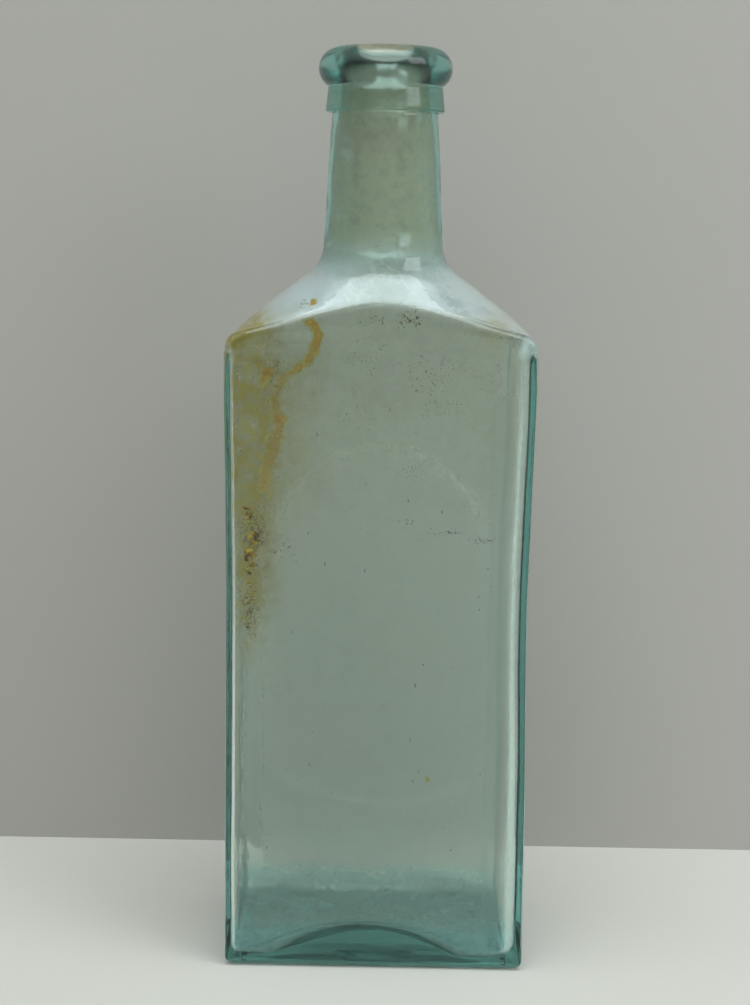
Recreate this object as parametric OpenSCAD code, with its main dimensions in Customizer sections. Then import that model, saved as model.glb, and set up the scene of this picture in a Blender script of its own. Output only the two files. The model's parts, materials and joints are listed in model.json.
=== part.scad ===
// Mould-blown rectangular medicine bottle in pale aqua glass, open at the mouth.
// Millimetres. Origin at the middle of the base, +Z up, X across the width, front face towards -Y.

/* [Body] */
// Height from the table to the top of the lip
bottle_h = 227.5; // [220:0.5:245]
// Width of the body at its base and at its shoulder
body_w = 75; // [70:0.5:78]
// Depth of the body from the front face to the back face
body_d = 43; // [38:0.5:50]
// Radius of the four upright corners
corner_r = 1.5; // [1.25:0.25:4]
// Radius of the corners where they reach the shoulder
corner_top_r = 3; // [1.5:0.5:9]
// Height at which the straight sides end
side_h = 155; // [146:0.5:158]
// How far each narrow side is drawn in where it is narrowest
side_sink = 0.4; // [0:0.1:1.6]
// Height at which the sides are narrowest
sink_z = 93; // [80:1:95]
// Radius of the rounded heel where the sides meet the base
heel_r = 4; // [2:0.5:6]

/* [Shoulder and neck] */
// Radius where the sides turn into the shoulder
shoulder_r = 6; // [4.5:0.5:8]
// Slope of the shoulder above the horizontal, in degrees
shoulder_slope = 38; // [35:0.5:42]
// How steeply the shoulder falls to the front compared with the sides
front_share = 0.57; // [0.5:0.01:0.7]
// Radius of the hollow sweep from the shoulder into the neck
neck_sweep_r = 9; // [6:0.5:12]
// Radius of the neck at its foot
neck_low_r = 14.8; // [14:0.1:15.5]
// Radius of the neck where the lip is laid on
neck_top_r = 12.8; // [11.8:0.1:13]

/* [Glass thickness] */
// Thickness of the front and back walls
wall = 3; // [2.4:0.1:4.2]
// Thickness of the two narrow side walls
side_wall = 1.8; // [1.4:0.1:3.4]
// Thickness of the glass at the rim of the base
base_t = 6.5; // [5:0.5:9]
// Radius of the hollow's upright corners
hollow_corner_r = 4; // [3:0.5:8]
// Radius where the hollow's walls meet its floor
hollow_heel_r = 5; // [3:0.5:7]
// Radius of the hollow at the foot of the neck
throat_r = 11.6; // [10.8:0.1:12]
// Radius of the hollow high in the neck, before it narrows to the mouth
throat_top_r = 10.8; // [10:0.1:11.2]

/* [Base] */
// Width of the flat rim that the bottle stands on
rim_w = 4; // [3:0.25:5]
// Height of the push-up in the middle of the base
push_up = 1; // [0.5:0.5:4]
// Rise of the floor inside towards its middle
floor_rise = 4; // [0:0.5:6]

/* [Mouth and lip] */
// Radius of the mouth that takes a cork
mouth_r = 7; // [6:0.1:8]
// Length of the straight mouth bore
mouth_len = 12.5; // [10:0.5:14]
// Height over which the hollow narrows from the neck to the mouth
mouth_funnel = 4; // [3:0.5:6]
// Radius of the glass bead, taken at its outside
bead_r = 16.2; // [15.5:0.1:18]
// Radius of the bead's own round section
bead_section_r = 5; // [4:0.1:5.4]
// Radius at the lower edge of the collar under the bead
collar_low_r = 14.5; // [14.2:0.1:15.4]
// Radius at the upper edge of the collar
collar_top_r = 13.9; // [13.6:0.1:14.1]
// Height of the whole lip
lip_h = 15.4; // [14:0.2:18]
// Thickness of lip glass over the end of the neck
lip_cover = 4.5; // [3:0.25:6]

/* [Back panel] */
// Half the width of the sunken panel on the back
panel_half_w = 29; // [24:0.5:30]
// How deep the panel is sunk
panel_sink = 0.8; // [0.4:0.1:1.2]
// Height at which the panel's round top springs
panel_spring_z = 98; // [85:1:105]
// Height of the panel's lowest point
panel_low_z = 29; // [22:1:45]
// Radius of the panel's curved bottom edge
panel_bottom_r = 61; // [45:1:90]

/* [Dried residue] */
// How many crumbs of residue cling to the inside of the front wall
crumb_count = 11; // [4:1:14]
// Height of the lowest crumb
crumb_low_z = 84; // [78:1:92]
// Height of the highest crumb
crumb_high_z = 118; // [114:1:135]
// Radius of the largest crumb
crumb_r = 1.3; // [1:0.1:1.6]
// How far the crumbs stray to either side of their line
crumb_spread = 1.2; // [0.5:0.1:2]
// Thickness of a crumb
crumb_t = 1.1; // [0.6:0.1:1.6]
// Gap left between a crumb and the wall
crumb_gap = 0.06; // [0.04:0.01:0.12]

/* [Hidden] */
half_w = body_w / 2;
half_d = body_d / 2;
hollow_half_w = half_w - side_wall;
hollow_half_d = half_d - wall;
lip_z = bottle_h - lip_h;
neck_end_z = bottle_h - lip_cover;
bead_z = bottle_h - bead_section_r;
bead_ring_r = bead_r - bead_section_r;
collar_step_z = bead_z - sqrt(pow(bead_section_r, 2) - pow(collar_top_r - bead_ring_r, 2));
// Smallest radius left where glass thickness or an inset takes a corner away
least_r = 1;
// The glass is thicker where the shoulder runs into the neck, so its inside sweeps wider
throat_sweep_extra = 3;
hollow_turn_r = max(shoulder_r - wall, least_r);
throat_sweep_r = neck_sweep_r + throat_sweep_extra;
neck_foot_z = foot_z(half_w, shoulder_r, neck_sweep_r, neck_low_r);
throat_z = foot_z(hollow_half_w, hollow_turn_r, throat_sweep_r, throat_r);
// How square the shoulder's sections grow on the way down from the round neck
squareness = 2.3;
// How square the lowest sections are kept, and how fast they lose it on the way up
corner_keep = 20;
corner_fade = 24;
// Keeps the reach to the front and back faces finite along the width
least_sine = 0.001;
// How crisp the edge is between the shoulder and the flat faces
edge_power = 30;
// Height below the shoulder over which the corners grow rounder
corner_blend = 8;
// Height above and below the narrowest place over which the sides are drawn in
sink_reach = 60;
// Numbers of steps in the curved skins
corner_steps = 6;
flat_steps = 3;
turn_steps = 5;
slope_steps = 5;
sweep_steps = 4;
side_steps = 6;
heel_steps = 3;
dome_steps = 4;
// Crumbs differ in size and place: turns in degrees from one crumb to the next
crumb_size_turn = 137;
crumb_place_turn = 101;
// Smallest crumb and narrow end of a crumb, as shares of the largest and of its foot
crumb_least = 0.6;
crumb_taper = 0.55;
// The neck starts a little inside the stepped skin of the shoulder, and so does the throat
skin_depth = 0.5;
skin_step = 0.15;

// Height where the sweep ends and the neck runs straight up
function foot_z(half, turn, sweep, foot) =
    side_h + (turn + sweep) * cos(shoulder_slope)
    + (half - turn * (1 - sin(shoulder_slope)) - foot - sweep * (1 - sin(shoulder_slope)))
    * tan(shoulder_slope);

// Half width of the shoulder at height z: rounded turn, straight slope, hollow sweep
function shoulder_half(z, half, turn, sweep, foot) =
    let (
        turn_top = side_h + turn * cos(shoulder_slope),
        turn_half = half - turn * (1 - sin(shoulder_slope)),
        sweep_top = foot_z(half, turn, sweep, foot),
        sweep_low = sweep_top - sweep * cos(shoulder_slope)
    )
    z <= side_h ? half :
    z <= turn_top ? half - turn + sqrt(max(0, turn * turn - pow(z - side_h, 2))) :
    z <= sweep_low ? turn_half - (z - turn_top) / tan(shoulder_slope) :
    z < sweep_top ? foot + sweep - sqrt(max(0, sweep * sweep - pow(sweep_top - z, 2))) :
    foot;

// How far the narrow sides are drawn in at height z
function sink_at(z) =
    abs(z - sink_z) >= sink_reach ? 0 : side_sink * pow(cos(90 * (z - sink_z) / sink_reach), 2);

// Radius of the upright corners at height z
function corner_at(z) =
    corner_r + (corner_top_r - corner_r) * max(0, 1 - (side_h - z) / corner_blend);

// Distance from the axis to a rounded rectangle, in the direction given by an angle
function plan_reach(angle, hw, hd, r) =
    let (
        c = abs(cos(angle)),
        s = abs(sin(angle)),
        cx = hw - r,
        cy = hd - r,
        along = cx * c + cy * s
    )
    s * hw <= c * cy ? hw / c :
    c * hd <= s * cx ? hd / s :
    along + sqrt(max(0, along * along - cx * cx - cy * cy + r * r));

// Distance from the axis to the shoulder's swelling section in the same direction
function dome_reach(angle, half, foot, full) =
    let (
        growth = max(0, (half - foot) / (full - foot)),
        power = 2 + squareness * pow(growth, 3) + corner_keep * pow(growth, corner_fade),
        across = foot + front_share * (half - foot)
    )
    pow(pow(abs(cos(angle)) / half, power) + pow(abs(sin(angle)) / across, power), -1 / power);

// Directions round the plan: close together on the corners, wide apart on the flats
function quarter_angles(hw, hd, r) = concat(
    [for (i = [0 : flat_steps - 1]) atan2((hd - r) * i / flat_steps, hw)],
    [for (i = [0 : corner_steps])
        atan2(hd - r + r * sin(90 * i / corner_steps), hw - r + r * cos(90 * i / corner_steps))],
    [for (i = [1 : 2 * flat_steps - 1]) atan2(hd, (hw - r) * (1 - i / (2 * flat_steps)))]
);
function plan_angles(hw, hd, r) =
    let (q = quarter_angles(hw, hd, r), n = len(q))
    concat(
        q,
        [90],
        [for (i = [n - 1 : -1 : 1]) 180 - q[i]],
        [for (a = q) 180 + a],
        [270],
        [for (i = [n - 1 : -1 : 1]) 360 - q[i]]
    );

// One ring of points at height z, drawn in by an inset from the full plan
function plan_ring(angles, z, hw, hd, r, inset) =
    [for (a = angles)
        let (reach = plan_reach(a, hw - inset, hd - inset, max(r - inset, least_r)))
        [reach * cos(a), reach * sin(a), z]];

// A ring drawn in evenly towards the axis and set at another height
function shrunk_ring(ring, share, z) = [for (p = ring) [p[0] * share, p[1] * share, z]];

// One ring of the shoulder at height z, softened where it runs into the front and back faces
function shoulder_ring(angles, z, hw, hd, r, turn, sweep, foot) =
    let (half = shoulder_half(z, hw, turn, sweep, foot))
    [for (a = angles)
        let (
            face = hd / max(abs(sin(a)), least_sine),
            dome = dome_reach(a, half, foot, hw),
            soft = pow(pow(dome, -edge_power) + pow(face, -edge_power), -1 / edge_power),
            reach = min(plan_reach(a, hw, hd, r), soft)
        )
        [reach * cos(a), reach * sin(a), z]];

// Heights of the shoulder rings, closer together in the turn and in the sweep
function shoulder_heights(hw, turn, sweep, foot) =
    let (
        turn_top = side_h + turn * cos(shoulder_slope),
        top = foot_z(hw, turn, sweep, foot),
        sweep_low = top - sweep * cos(shoulder_slope)
    )
    concat(
        [for (i = [1 : turn_steps]) side_h + (turn_top - side_h) * sin(90 * i / turn_steps)],
        [for (i = [1 : slope_steps]) turn_top + (sweep_low - turn_top) * i / slope_steps],
        [for (i = [1 : sweep_steps]) sweep_low + (top - sweep_low) * i / sweep_steps]
    );

// Closed skin over a stack of rings that starts and ends in a single middle point
module ring_stack(low_point, rings, top_point) {
    n = len(rings[0]);
    count = len(rings);
    points = concat([low_point], [for (ring = rings) for (p = ring) p], [top_point]);
    last = len(points) - 1;
    faces = concat(
        [for (i = [0 : n - 1]) [0, 1 + i, 1 + (i + 1) % n]],
        [for (k = [0 : count - 2]) for (i = [0 : n - 1]) for (half = [0, 1])
            let (
                a = 1 + k * n + i,
                b = 1 + k * n + (i + 1) % n,
                c = a + n,
                d = b + n
            )
            half == 0 ? [a, c, b] : [b, c, d]],
        [for (i = [0 : n - 1])
            [last, 1 + (count - 1) * n + (i + 1) % n, 1 + (count - 1) * n + i]]
    );
    polyhedron(points = points, faces = faces);
}

// Outside of the body and shoulder, with the push-up in its base
module body_form() {
    angles = plan_angles(half_w, half_d, corner_top_r);
    rim_in = heel_r + rim_w;
    rim_inside = plan_ring(angles, 0, half_w, half_d, corner_r + rim_in, rim_in);
    rim_outside = plan_ring(angles, 0, half_w, half_d, corner_r, heel_r);
    dome = [for (i = [1 : dome_steps - 1]) let (t = i / dome_steps)
        shrunk_ring(rim_inside, t, push_up * (1 - t * t))];
    rim = [rim_inside, rim_outside];
    heel = [for (i = [1 : heel_steps]) let (t = 90 * i / heel_steps)
        plan_ring(angles, heel_r * (1 - cos(t)), half_w, half_d, corner_r, heel_r * (1 - sin(t)))];
    sides = [for (i = [1 : side_steps]) let (z = heel_r + (side_h - heel_r) * i / side_steps)
        plan_ring(angles, z, half_w - sink_at(z), half_d, corner_at(z), 0)];
    shoulder = [for (z = shoulder_heights(half_w, shoulder_r, neck_sweep_r, neck_low_r))
        shoulder_ring(angles, z, half_w, half_d, corner_top_r, shoulder_r, neck_sweep_r, neck_low_r)];
    ring_stack([0, 0, push_up], concat(dome, rim, heel, sides, shoulder), [0, 0, neck_foot_z]);
}

// Space inside the body and shoulder
module hollow_form() {
    angles = plan_angles(hollow_half_w, hollow_half_d, hollow_corner_r);
    floor_edge = plan_ring(angles, base_t, hollow_half_w, hollow_half_d, hollow_corner_r, hollow_heel_r);
    floor_dome = [for (i = [1 : dome_steps - 1]) let (t = i / dome_steps)
        shrunk_ring(floor_edge, t, base_t + floor_rise * (1 - t * t))];
    heel = [for (i = [1 : heel_steps]) let (t = 90 * i / heel_steps)
        plan_ring(angles, base_t + hollow_heel_r * (1 - cos(t)), hollow_half_w, hollow_half_d,
            hollow_corner_r, hollow_heel_r * (1 - sin(t)))];
    sides = [for (i = [1 : side_steps])
        let (start = base_t + hollow_heel_r, z = start + (side_h - start) * i / side_steps)
        plan_ring(angles, z, hollow_half_w - sink_at(z), hollow_half_d, hollow_corner_r, 0)];
    shoulder = [for (z = shoulder_heights(hollow_half_w, hollow_turn_r, throat_sweep_r, throat_r))
        shoulder_ring(angles, z, hollow_half_w, hollow_half_d, hollow_corner_r,
            hollow_turn_r, throat_sweep_r, throat_r)];
    rings = concat(floor_dome, [floor_edge], heel, sides, shoulder);
    ring_stack([0, 0, base_t + floor_rise], rings, [0, 0, throat_z]);
}

// Outline of the sunken panel: straight sides, round top and a gently curved bottom
module panel_outline() {
    bottom_centre_z = panel_low_z + panel_bottom_r;
    intersection() {
        union() {
            translate([-panel_half_w, 0])
                square([2 * panel_half_w, panel_spring_z]);
            translate([0, panel_spring_z])
                circle(r = panel_half_w, $fn = 96);
        }
        union() {
            translate([0, bottom_centre_z])
                circle(r = panel_bottom_r, $fn = 96);
            translate([-half_w, bottom_centre_z])
                square([body_w, side_h]);
        }
    }
}

// Body, shoulder, neck and base, blown as one piece of glass
module glass_body() {
    color([0.62, 0.80, 0.76, 0.6])
    difference() {
        union() {
            body_form();
            rotate_extrude($fn = 128)
                polygon([
                    [0, neck_foot_z - skin_depth],
                    [neck_low_r - skin_step, neck_foot_z - skin_depth],
                    [neck_low_r - skin_step, neck_foot_z],
                    [neck_top_r, lip_z],
                    [neck_top_r, neck_end_z],
                    [0, neck_end_z]
                ]);
        }
        hollow_form();
        rotate_extrude($fn = 128)
            polygon([
                [0, throat_z - skin_depth],
                [throat_r - skin_step, throat_z - skin_depth],
                [throat_r - skin_step, throat_z],
                [throat_top_r, bottle_h - mouth_len - mouth_funnel],
                [mouth_r, bottle_h - mouth_len],
                [mouth_r, bottle_h],
                [0, bottle_h]
            ]);
        translate([0, half_d - panel_sink, 0])
            rotate([90, 0, 0])
                mirror([0, 0, 1])
                    linear_extrude(height = 2 * panel_sink)
                        panel_outline();
    }
}

// Bead and collar, laid hot round the end of the neck as a second gather of glass
module applied_lip() {
    color([0.55, 0.78, 0.74, 0.6])
    difference() {
        union() {
            rotate_extrude($fn = 128)
                translate([bead_ring_r, bead_z])
                    circle(r = bead_section_r, $fn = 64);
            rotate_extrude($fn = 128)
                polygon([
                    [0, lip_z],
                    [collar_low_r, lip_z],
                    [collar_top_r, collar_step_z],
                    [bead_ring_r, bead_z],
                    [0, bead_z]
                ]);
        }
        translate([0, 0, lip_z - 1])
            cylinder(r = neck_top_r, h = neck_end_z - lip_z + 1, $fn = 128);
        translate([0, 0, lip_z - 1])
            cylinder(r = mouth_r, h = lip_h + 2, $fn = 128);
    }
}

// Crumbs of dried residue that cling to the inside of the front wall, by its left corner
module dried_residue() {
    line_x = side_sink + hollow_corner_r + crumb_spread + crumb_r - hollow_half_w;
    color([0.36, 0.24, 0.11])
    for (i = [0 : crumb_count - 1]) {
        share = i / (crumb_count - 1);
        z = crumb_low_z + (crumb_high_z - crumb_low_z) * share;
        size = crumb_r * (crumb_least + (1 - crumb_least) * abs(sin(crumb_size_turn * i)));
        across = crumb_spread * sin(crumb_place_turn * i);
        translate([line_x + across, crumb_gap - hollow_half_d, z])
            rotate([-90, 0, 0])
                cylinder(r1 = size, r2 = size * crumb_taper, h = crumb_t, $fn = 24);
    }
}

glass_body();
applied_lip();
dried_residue();
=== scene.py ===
import json
import math
import bpy
import bmesh
import numpy as np
from mathutils import Matrix, Vector


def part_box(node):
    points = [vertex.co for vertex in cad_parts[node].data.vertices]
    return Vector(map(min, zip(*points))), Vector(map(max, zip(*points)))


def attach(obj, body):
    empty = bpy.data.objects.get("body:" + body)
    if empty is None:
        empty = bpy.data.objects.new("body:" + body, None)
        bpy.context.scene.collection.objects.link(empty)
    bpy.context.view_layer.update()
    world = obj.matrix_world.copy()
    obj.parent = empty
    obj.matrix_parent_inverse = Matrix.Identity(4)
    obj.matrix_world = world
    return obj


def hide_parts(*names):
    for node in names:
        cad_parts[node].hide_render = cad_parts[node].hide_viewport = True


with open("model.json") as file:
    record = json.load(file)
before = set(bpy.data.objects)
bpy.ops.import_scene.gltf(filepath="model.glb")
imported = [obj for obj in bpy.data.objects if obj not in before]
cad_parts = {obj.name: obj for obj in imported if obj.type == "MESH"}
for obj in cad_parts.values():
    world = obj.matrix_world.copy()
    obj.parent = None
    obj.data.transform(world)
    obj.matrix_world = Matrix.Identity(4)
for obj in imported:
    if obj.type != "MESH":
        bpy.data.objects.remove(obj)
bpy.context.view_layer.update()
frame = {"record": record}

# Sizes are in millimetres, as in the part, and go to metres when a mesh is made
MM = 0.001
body_low, body_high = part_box("glass_body")
lip_low, lip_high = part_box("applied_lip")
mounts = {mount["name"]: mount for mount in frame["record"]["mounts"]}

# Sizes that the frame gives
HALF_W = (body_high.x - body_low.x) / 2 / MM
HALF_D = (body_high.y - body_low.y) / 2 / MM
BOTTLE_H = lip_high.z / MM
LIP_Z = lip_low.z / MM
BEAD_R = (lip_high.x - lip_low.x) / 2 / MM
MOUTH_R = mounts["mouth_bore"]["dims"]["r_mm"]

# Upright sides: their corners, and how far the narrow sides sink about the height SINK_Z
SIDE_H = 155
CORNER_R = 0.6
CORNER_TOP_R = 1.2
CORNER_BLEND = 8
LEAST_CORNER_R = 0.3
LEFT_SINK = 0.4
RIGHT_SINK = 0.9
SINK_Z = 93
SINK_REACH = 60

# Base: a rounded heel, wider on the narrow sides, a flat rim and a shallow push-up
HEEL_R = 2.5
HEEL_SIDE_W = 4.0
RIM_W = 5.5
PUSH_UP = 0.3

# Two rings of points keep the rim flat, each a little way in from one of its edges
RIM_INNER_GAP = 1.5
RIM_OUTER_GAP = 1
RIM_INSETS = (HEEL_R + RIM_W - RIM_INNER_GAP, HEEL_R + RIM_OUTER_GAP)

# Shoulder: a turn, a slope and a sweep up into the neck
SHOULDER_R = 6
SLOPE = math.radians(38)
NECK_SWEEP_R = 9

# Plan of the shoulder: an oval, squared by higher powers, that grows less to the front than to the sides
OVAL_POWER = 2
SQUARENESS = 2.3
SQUARE_FADE = 3
CORNER_KEEP = 20
CORNER_FADE = 16
EDGE_POWER = 30
FRONT_SHARE = 0.57

# The shoulder swells to each side, at its turn and higher up, from a share of the neck's radius outwards
SWELL = 1.0
SWELL_Z = 172
SWELL_H = 7
TURN_SWELL = 1.15
TURN_SWELL_Z = 164
TURN_SWELL_H = 5.5
SWELL_FROM = 0.3

# Neck, which narrows to a cone inside the lip
NECK_LOW_R = 14.8
NECK_TOP_R = 12.8
NECK_TAPER_POWER = 1.3
NECK_END_WALL = 1
LIP_COVER = 4.5
NECK_END_Z = BOTTLE_H - LIP_COVER
NECK_END_R = MOUTH_R + NECK_END_WALL

# Hollow
WALL = 3.0
LEFT_WALL = 1.15
RIGHT_WALL = 1.25
LEFT_CORNER_R = 2.5
RIGHT_CORNER_R = 7
HOLLOW_HEEL_R = 2.5
HOLLOW_TURN_R = 4.2
HOLLOW_RISE = 0.3
THROAT_R = 9.0
THROAT_TOP_R = 8.0
THROAT_SWEEP_R = 14
MOUTH_LEN = 9.5
MOUTH_FUNNEL = 14

# Floor of the hollow: a hump in front and two low bumps behind
FLOOR_MID_Z = 5.2
FRONT_EDGE_Z = 2.2
FRONT_HUMP = 8
FRONT_HUMP_X = -2.5
FRONT_HUMP_HALF_W = 27
BACK_EDGE_Z = 4.6
BACK_BUMP = 0.5
BACK_BUMP_X = 24.5
BACK_BUMP_W = 8

# Lip: a bead, and a collar whose foot has a small rounded edge
BEAD_SECTION_R = 5
COLLAR_LOW_R = 14.5
COLLAR_TOP_R = 13.9
COLLAR_EDGE = 0.5
COLLAR_EDGE_MID = 0.15
LIP_OVERLAP = 0.1
LIP_FROST = 0.14

# Sunken panel on the back
PANEL_HALF_W = 29
PANEL_SINK = 0.8
PANEL_SPRING_Z = 98
PANEL_LOW_Z = 29
PANEL_BOTTOM_R = 61
PANEL_EDGE = 1.6

# Waves of the glass: depth and wavelength, with a seed for each
OUTER_WAVE = 0.15
OUTER_WAVE_LEN = 26
OUTER_SEED = 11
SHOULDER_WAVE = 0.08
SHOULDER_WAVE_LEN = 5
SHOULDER_SEED = 14
INNER_WAVE = 0.6
INNER_WAVE_LEN = 30
INNER_SEED = 12
INNER_RIPPLE = 0.12
INNER_RIPPLE_LEN = 8
INNER_RIPPLE_SEED = 13

# The inside is calmer on the narrow sides and in the neck. Near the axis a wave moves points less
SIDE_CALM = 0.75
NECK_CALM = 0.4
LEAST_REACH = 3

# Each unevenness is a sum of waves, whose lengths vary between these shares
WAVES = 7
SHORTEST_WAVE = 0.7
LONGEST_WAVE = 1.5

# Points round each ring, a quarter at a time. Directions that agree to so many digits are one
SIDE_STEPS = 14
CORNER_STEPS = 14
FACE_STEPS = 44
ANGLE_DIGITS = 3

# Rings of points up the outside and down the hollow
PUSH_UP_RINGS = 14
HEEL_RINGS = 10
SIDE_RINGS = 120
TURN_RINGS = 12
SLOPE_RINGS = 30
SWEEP_RINGS = 18
NECK_RINGS = 40
NECK_END_RINGS = 12
BORE_RINGS = 24
THROAT_RINGS = 24
HOLLOW_SIDE_RINGS = 170
HOLLOW_HEEL_RINGS = 12
FLOOR_RINGS = 16

# Points round the lip, and along the parts of its section
LIP_TURNS = 160
COLLAR_STEPS = 9
BEAD_STEPS = 40
LIP_INNER_STEPS = 12

# Stand in for zero where something is divided by a sine or cosine
LEAST_SHARE = 1e-9
LEAST_SHOULDER_SINE = 1e-3


def smooth_step(value):
    """Eases from 0 to 1."""
    t = np.clip(value, 0, 1)
    return t * t * (3 - 2 * t)


def ease(value, start, end):
    """Eases from 0 at start to 1 at end, which may be the smaller of the two."""
    return smooth_step((value - start) / (end - start))


def near(value, middle, width):
    """1 in the middle, falling off over the width to each side."""
    return np.exp(-(((value - middle) / width) ** 2))


def foot_z(half, turn, sweep, foot):
    """Height at which the shoulder has become the neck."""
    slope_run = half - foot - (turn + sweep) * (1 - math.sin(SLOPE))
    return SIDE_H + (turn + sweep) * math.cos(SLOPE) + slope_run * math.tan(SLOPE)


def sink_at(z):
    """How far the narrow sides are drawn in at height z."""
    share = np.clip(np.abs(z - SINK_Z) / SINK_REACH, 0, 1)
    return np.where(ON_LEFT, LEFT_SINK, RIGHT_SINK) * np.cos(share * math.pi / 2) ** 2


def corner_at(z):
    """Radius of the upright corners at height z."""
    return CORNER_R + (CORNER_TOP_R - CORNER_R) * max(0, 1 - (SIDE_H - z) / CORNER_BLEND)


def bore_at(z):
    """Radius of the hollow where the neck narrows to the mouth."""
    share = smooth_step((BOTTLE_H - MOUTH_LEN - z) / MOUTH_FUNNEL)
    return MOUTH_R + (THROAT_TOP_R - MOUTH_R) * share


def plan_reach(angles, half_w, half_d, r):
    """Distance from the axis to a rounded rectangle in each direction."""
    c = np.maximum(np.abs(np.cos(angles)), LEAST_SHARE)
    s = np.maximum(np.abs(np.sin(angles)), LEAST_SHARE)
    cx = half_w - r
    cy = half_d - r
    along = cx * c + cy * s
    corner = along + np.sqrt(np.maximum(0, along**2 - cx**2 - cy**2 + r**2))
    off_sides = np.where(c * half_d <= s * cx, half_d / s, corner)
    return np.where(s * half_w <= c * cy, half_w / c, off_sides)


def shoulder_reach(angles, half, full, half_d, r, foot):
    """Distance from the axis to the shoulder where its half width is half."""
    c = np.abs(np.cos(angles))
    s = np.maximum(np.abs(np.sin(angles)), LEAST_SHOULDER_SINE)
    growth = max(0, (half - foot) / (full - foot))
    power = OVAL_POWER + SQUARENESS * growth**SQUARE_FADE + CORNER_KEEP * growth**CORNER_FADE
    across = foot + FRONT_SHARE * (half - foot)
    dome = ((c / half) ** power + (s / across) ** power) ** (-1 / power)
    soft = (dome**-EDGE_POWER + (half_d / s) ** -EDGE_POWER) ** (-1 / EDGE_POWER)
    return np.minimum(plan_reach(angles, full, half_d, r), soft)


def plan_angles():
    """Directions round the plan, close together on the corners of the outside and of the hollow."""
    turn = np.linspace(0, math.pi / 2, CORNER_STEPS + 1)
    side = np.arctan2((HALF_D - CORNER_R) * np.arange(1, SIDE_STEPS) / SIDE_STEPS, HALF_W)
    face = np.arctan2(HALF_D, (HALF_W - CORNER_R) * np.arange(1, FACE_STEPS) / FACE_STEPS)
    quarter = np.concatenate([side, face])
    plans = [
        (HALF_W, HALF_D, CORNER_R),
        (HALF_W, HALF_D, CORNER_TOP_R),
        (HALF_W - LEFT_WALL, HALF_D - WALL, LEFT_CORNER_R),
        (HALF_W - RIGHT_WALL, HALF_D - WALL, RIGHT_CORNER_R),
    ]
    for half_w, half_d, r in plans:
        corner = np.arctan2(half_d - r + r * np.sin(turn), half_w - r + r * np.cos(turn))
        quarter = np.concatenate([quarter, corner])
    quarter = np.unique(np.round(quarter, ANGLE_DIGITS))
    half = np.concatenate([[0], quarter, [math.pi / 2], math.pi - quarter[::-1]])
    return np.concatenate([half, math.pi + half])


# The two narrow sides of the hollow differ, so its sizes are given for each direction
ANGLES = plan_angles()
ON_LEFT = np.cos(ANGLES) < 0
HOLLOW_HALF_W = HALF_W - np.where(ON_LEFT, LEFT_WALL, RIGHT_WALL)
HOLLOW_HALF_D = HALF_D - WALL
HOLLOW_CORNER_R = np.where(ON_LEFT, LEFT_CORNER_R, RIGHT_CORNER_R)


def ring(reach, z):
    """Points at a distance from the axis in each direction, at one height or at a list of heights."""
    heights = np.broadcast_to(np.asarray(z, float), ANGLES.shape)
    reach = np.broadcast_to(np.asarray(reach, float), ANGLES.shape)
    return np.stack([reach * np.cos(ANGLES), reach * np.sin(ANGLES), heights], axis=1)


def shoulder_rings(half_w, half_d, r, turn, sweep, foot, rise=0):
    """Rings of a shoulder from the top of the sides to the foot of the neck, lifted by rise."""
    top = foot_z(half_w, turn, sweep, foot)
    end = math.pi / 2 - SLOPE
    turn_angles = np.linspace(0, end, TURN_RINGS)[1:]
    sweep_angles = np.linspace(end, 0, SWEEP_RINGS)[1:]
    turn_half = half_w - turn + turn * np.cos(turn_angles)
    turn_z = SIDE_H + turn * np.sin(turn_angles)
    sweep_half = foot + sweep - sweep * np.cos(sweep_angles)
    sweep_z = top - sweep * np.sin(sweep_angles)
    start_half = foot + sweep - sweep * math.cos(end)
    start_z = top - sweep * math.sin(end)
    share = np.linspace(0, 1, SLOPE_RINGS)[1:]
    slope_half = turn_half[-1] + (start_half - turn_half[-1]) * share
    slope_z = turn_z[-1] + (start_z - turn_z[-1]) * share
    halves = np.concatenate([turn_half, slope_half, sweep_half])
    heights = np.concatenate([turn_z, slope_z, sweep_z]) + rise
    return [ring(shoulder_reach(ANGLES, h, half_w, half_d, r, foot), z) for h, z in zip(halves, heights)]


def ripple(points, wavelength, seed):
    """Smooth unevenness between -1 and 1, the same on every run."""
    rng = np.random.default_rng(seed)
    total = np.zeros(len(points))
    for _ in range(WAVES):
        way = rng.normal(size=3)
        way /= np.linalg.norm(way)
        length = wavelength * rng.uniform(SHORTEST_WAVE, LONGEST_WAVE)
        total += np.sin(points @ way * 2 * math.pi / length + rng.uniform(0, 2 * math.pi))
    return total / WAVES


def sink_panel(points, from_y):
    """Presses the arched panel into the outside of the back wall, which lies beyond from_y."""
    x, y, z = points.T
    bottom_z = PANEL_LOW_Z + PANEL_BOTTOM_R
    inside_top = PANEL_HALF_W - np.hypot(x, np.maximum(z - PANEL_SPRING_Z, 0))
    inside_bottom = PANEL_BOTTOM_R - np.hypot(x, np.minimum(z - bottom_z, 0))
    inside = np.minimum(inside_top, inside_bottom)
    depth = PANEL_SINK * ease(inside, -PANEL_EDGE / 2, PANEL_EDGE / 2)
    points[:, 1] -= np.where(y > from_y, depth, 0)


def push_in_and_out(points, wave):
    """Moves points away from the axis by a wave."""
    reach = np.maximum(np.hypot(points[:, 0], points[:, 1]), LEAST_REACH)
    points[:, :2] *= (1 + wave / reach)[:, None]


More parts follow.
